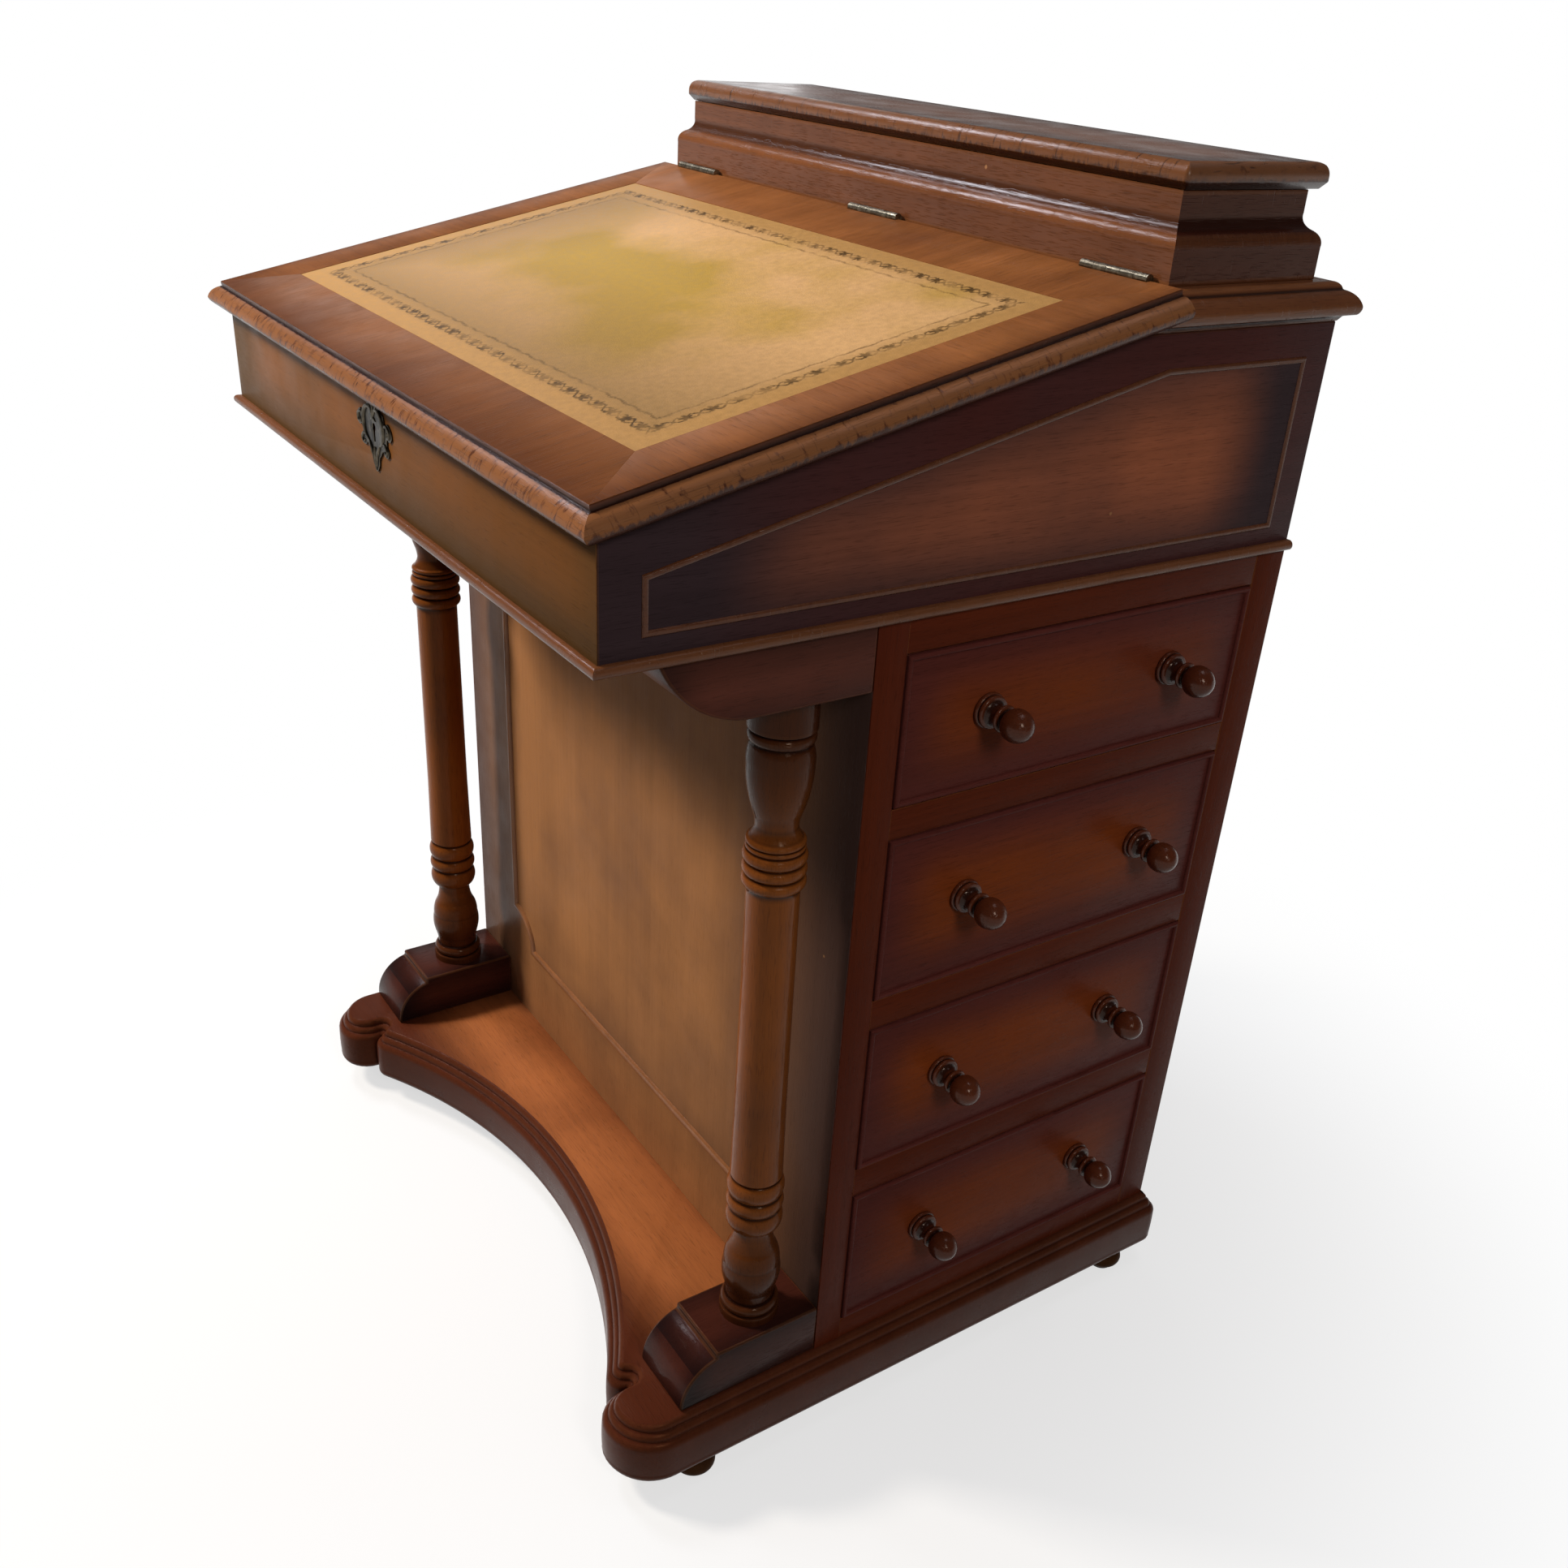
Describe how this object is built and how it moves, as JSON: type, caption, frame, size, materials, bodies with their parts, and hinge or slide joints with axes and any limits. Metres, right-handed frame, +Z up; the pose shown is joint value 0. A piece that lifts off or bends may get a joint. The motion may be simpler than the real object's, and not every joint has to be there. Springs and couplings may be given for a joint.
{
  "type": "davenport desk",
  "caption": "Small writing desk: hinged sloping lid with leather, stationery gallery with its own lid, side drawers, dummy drawers opposite, turned columns, shaped base.",
  "frame": {"origin": "floor level under the middle of the case", "axes": "+Z up, the writer sits on the -Y side, the working drawers open towards +X"},
  "size_m": [0.612, 0.494, 0.7995],
  "materials": {
    "mahogany": "french polished",
    "mahogany_edge": "worn polished edge",
    "drawer_lining": "planed, unpolished",
    "writing_leather": "tooled, aged",
    "brass": "aged",
    "dark_bronze": "patinated",
    "lock_iron": "dull",
    "ebonised": "dark stained"
  },
  "bodies": {
    "desk": {"base_platform": "mahogany", "button_feet": "ebonised", "toe_block_right": "mahogany", "toe_block_left": "mahogany", "corbel_right": "mahogany", "corbel_left": "mahogany", "column_right": "mahogany_edge", "column_left": "mahogany_edge", "pedestal_front": "mahogany", "front_panel_bead": "mahogany", "pedestal_left_side": "mahogany", "drawer_side_frame": "mahogany", "pedestal_back": "mahogany", "dust_boards": "drawer_lining", "drawer_guides": "drawer_lining", "dummy_knobs": "mahogany", "dummy_cock_beads": "mahogany", "case_right_side": "mahogany", "case_left_side": "mahogany", "case_front": "mahogany", "case_back": "mahogany", "case_bottom": "drawer_lining", "well_partition": "mahogany", "case_foot_bead": "mahogany", "case_side_beads": "mahogany", "ledge_moulding": "mahogany_edge", "lid_hinges_fixed": "brass", "lock_case": "lock_iron", "escutcheon": "dark_bronze", "gallery_front": "mahogany_edge", "gallery_back": "mahogany", "gallery_sides": "mahogany_edge", "gallery_hinges_fixed": "brass"},
    "drawer_1": {"drawer_1_front": "mahogany", "drawer_1_sides": "drawer_lining", "drawer_1_bottom": "drawer_lining", "drawer_1_back": "drawer_lining", "drawer_1_knobs": "mahogany"},
    "drawer_2": {"drawer_2_front": "mahogany", "drawer_2_sides": "drawer_lining", "drawer_2_bottom": "drawer_lining", "drawer_2_back": "drawer_lining", "drawer_2_knobs": "mahogany"},
    "drawer_3": {"drawer_3_front": "mahogany", "drawer_3_sides": "drawer_lining", "drawer_3_bottom": "drawer_lining", "drawer_3_back": "drawer_lining", "drawer_3_knobs": "mahogany"},
    "drawer_4": {"drawer_4_front": "mahogany", "drawer_4_sides": "drawer_lining", "drawer_4_bottom": "drawer_lining", "drawer_4_back": "drawer_lining", "drawer_4_knobs": "mahogany"},
    "writing_lid": {"lid_panel": "mahogany", "lid_moulding": "mahogany_edge", "leather_inlay": "writing_leather", "lid_hinges_moving": "brass"},
    "stationery_lid": {"gallery_lid": "mahogany", "gallery_hinges_moving": "brass"},
    "bolt": {"lock_bolt": "brass"}
  },
  "joints": [
    {"name": "drawer_1_slide", "type": "slide", "parent": "desk", "child": "drawer_1", "axis": [1, 0, 0], "range_m": [0, 0.38]},
    {"name": "drawer_2_slide", "type": "slide", "parent": "desk", "child": "drawer_2", "axis": [1, 0, 0], "range_m": [0, 0.38]},
    {"name": "drawer_3_slide", "type": "slide", "parent": "desk", "child": "drawer_3", "axis": [1, 0, 0], "range_m": [0, 0.38]},
    {"name": "drawer_4_slide", "type": "slide", "parent": "desk", "child": "drawer_4", "axis": [1, 0, 0], "range_m": [0, 0.38]},
    {"name": "writing_lid_hinge", "type": "hinge", "parent": "desk", "child": "writing_lid", "pos_m": [0, 0.102, 0.742], "axis": [-1, 0, 0], "range_deg": [0, 110]},
    {"name": "stationery_lid_hinge", "type": "hinge", "parent": "desk", "child": "stationery_lid", "pos_m": [0, 0.215, 0.783], "axis": [-1, 0, 0], "range_deg": [0, 95]},
    {"name": "lock_bolt_slide", "type": "slide", "parent": "desk", "child": "bolt", "axis": [0, 0, 1], "range_m": [0, 0.008]}
  ]
}
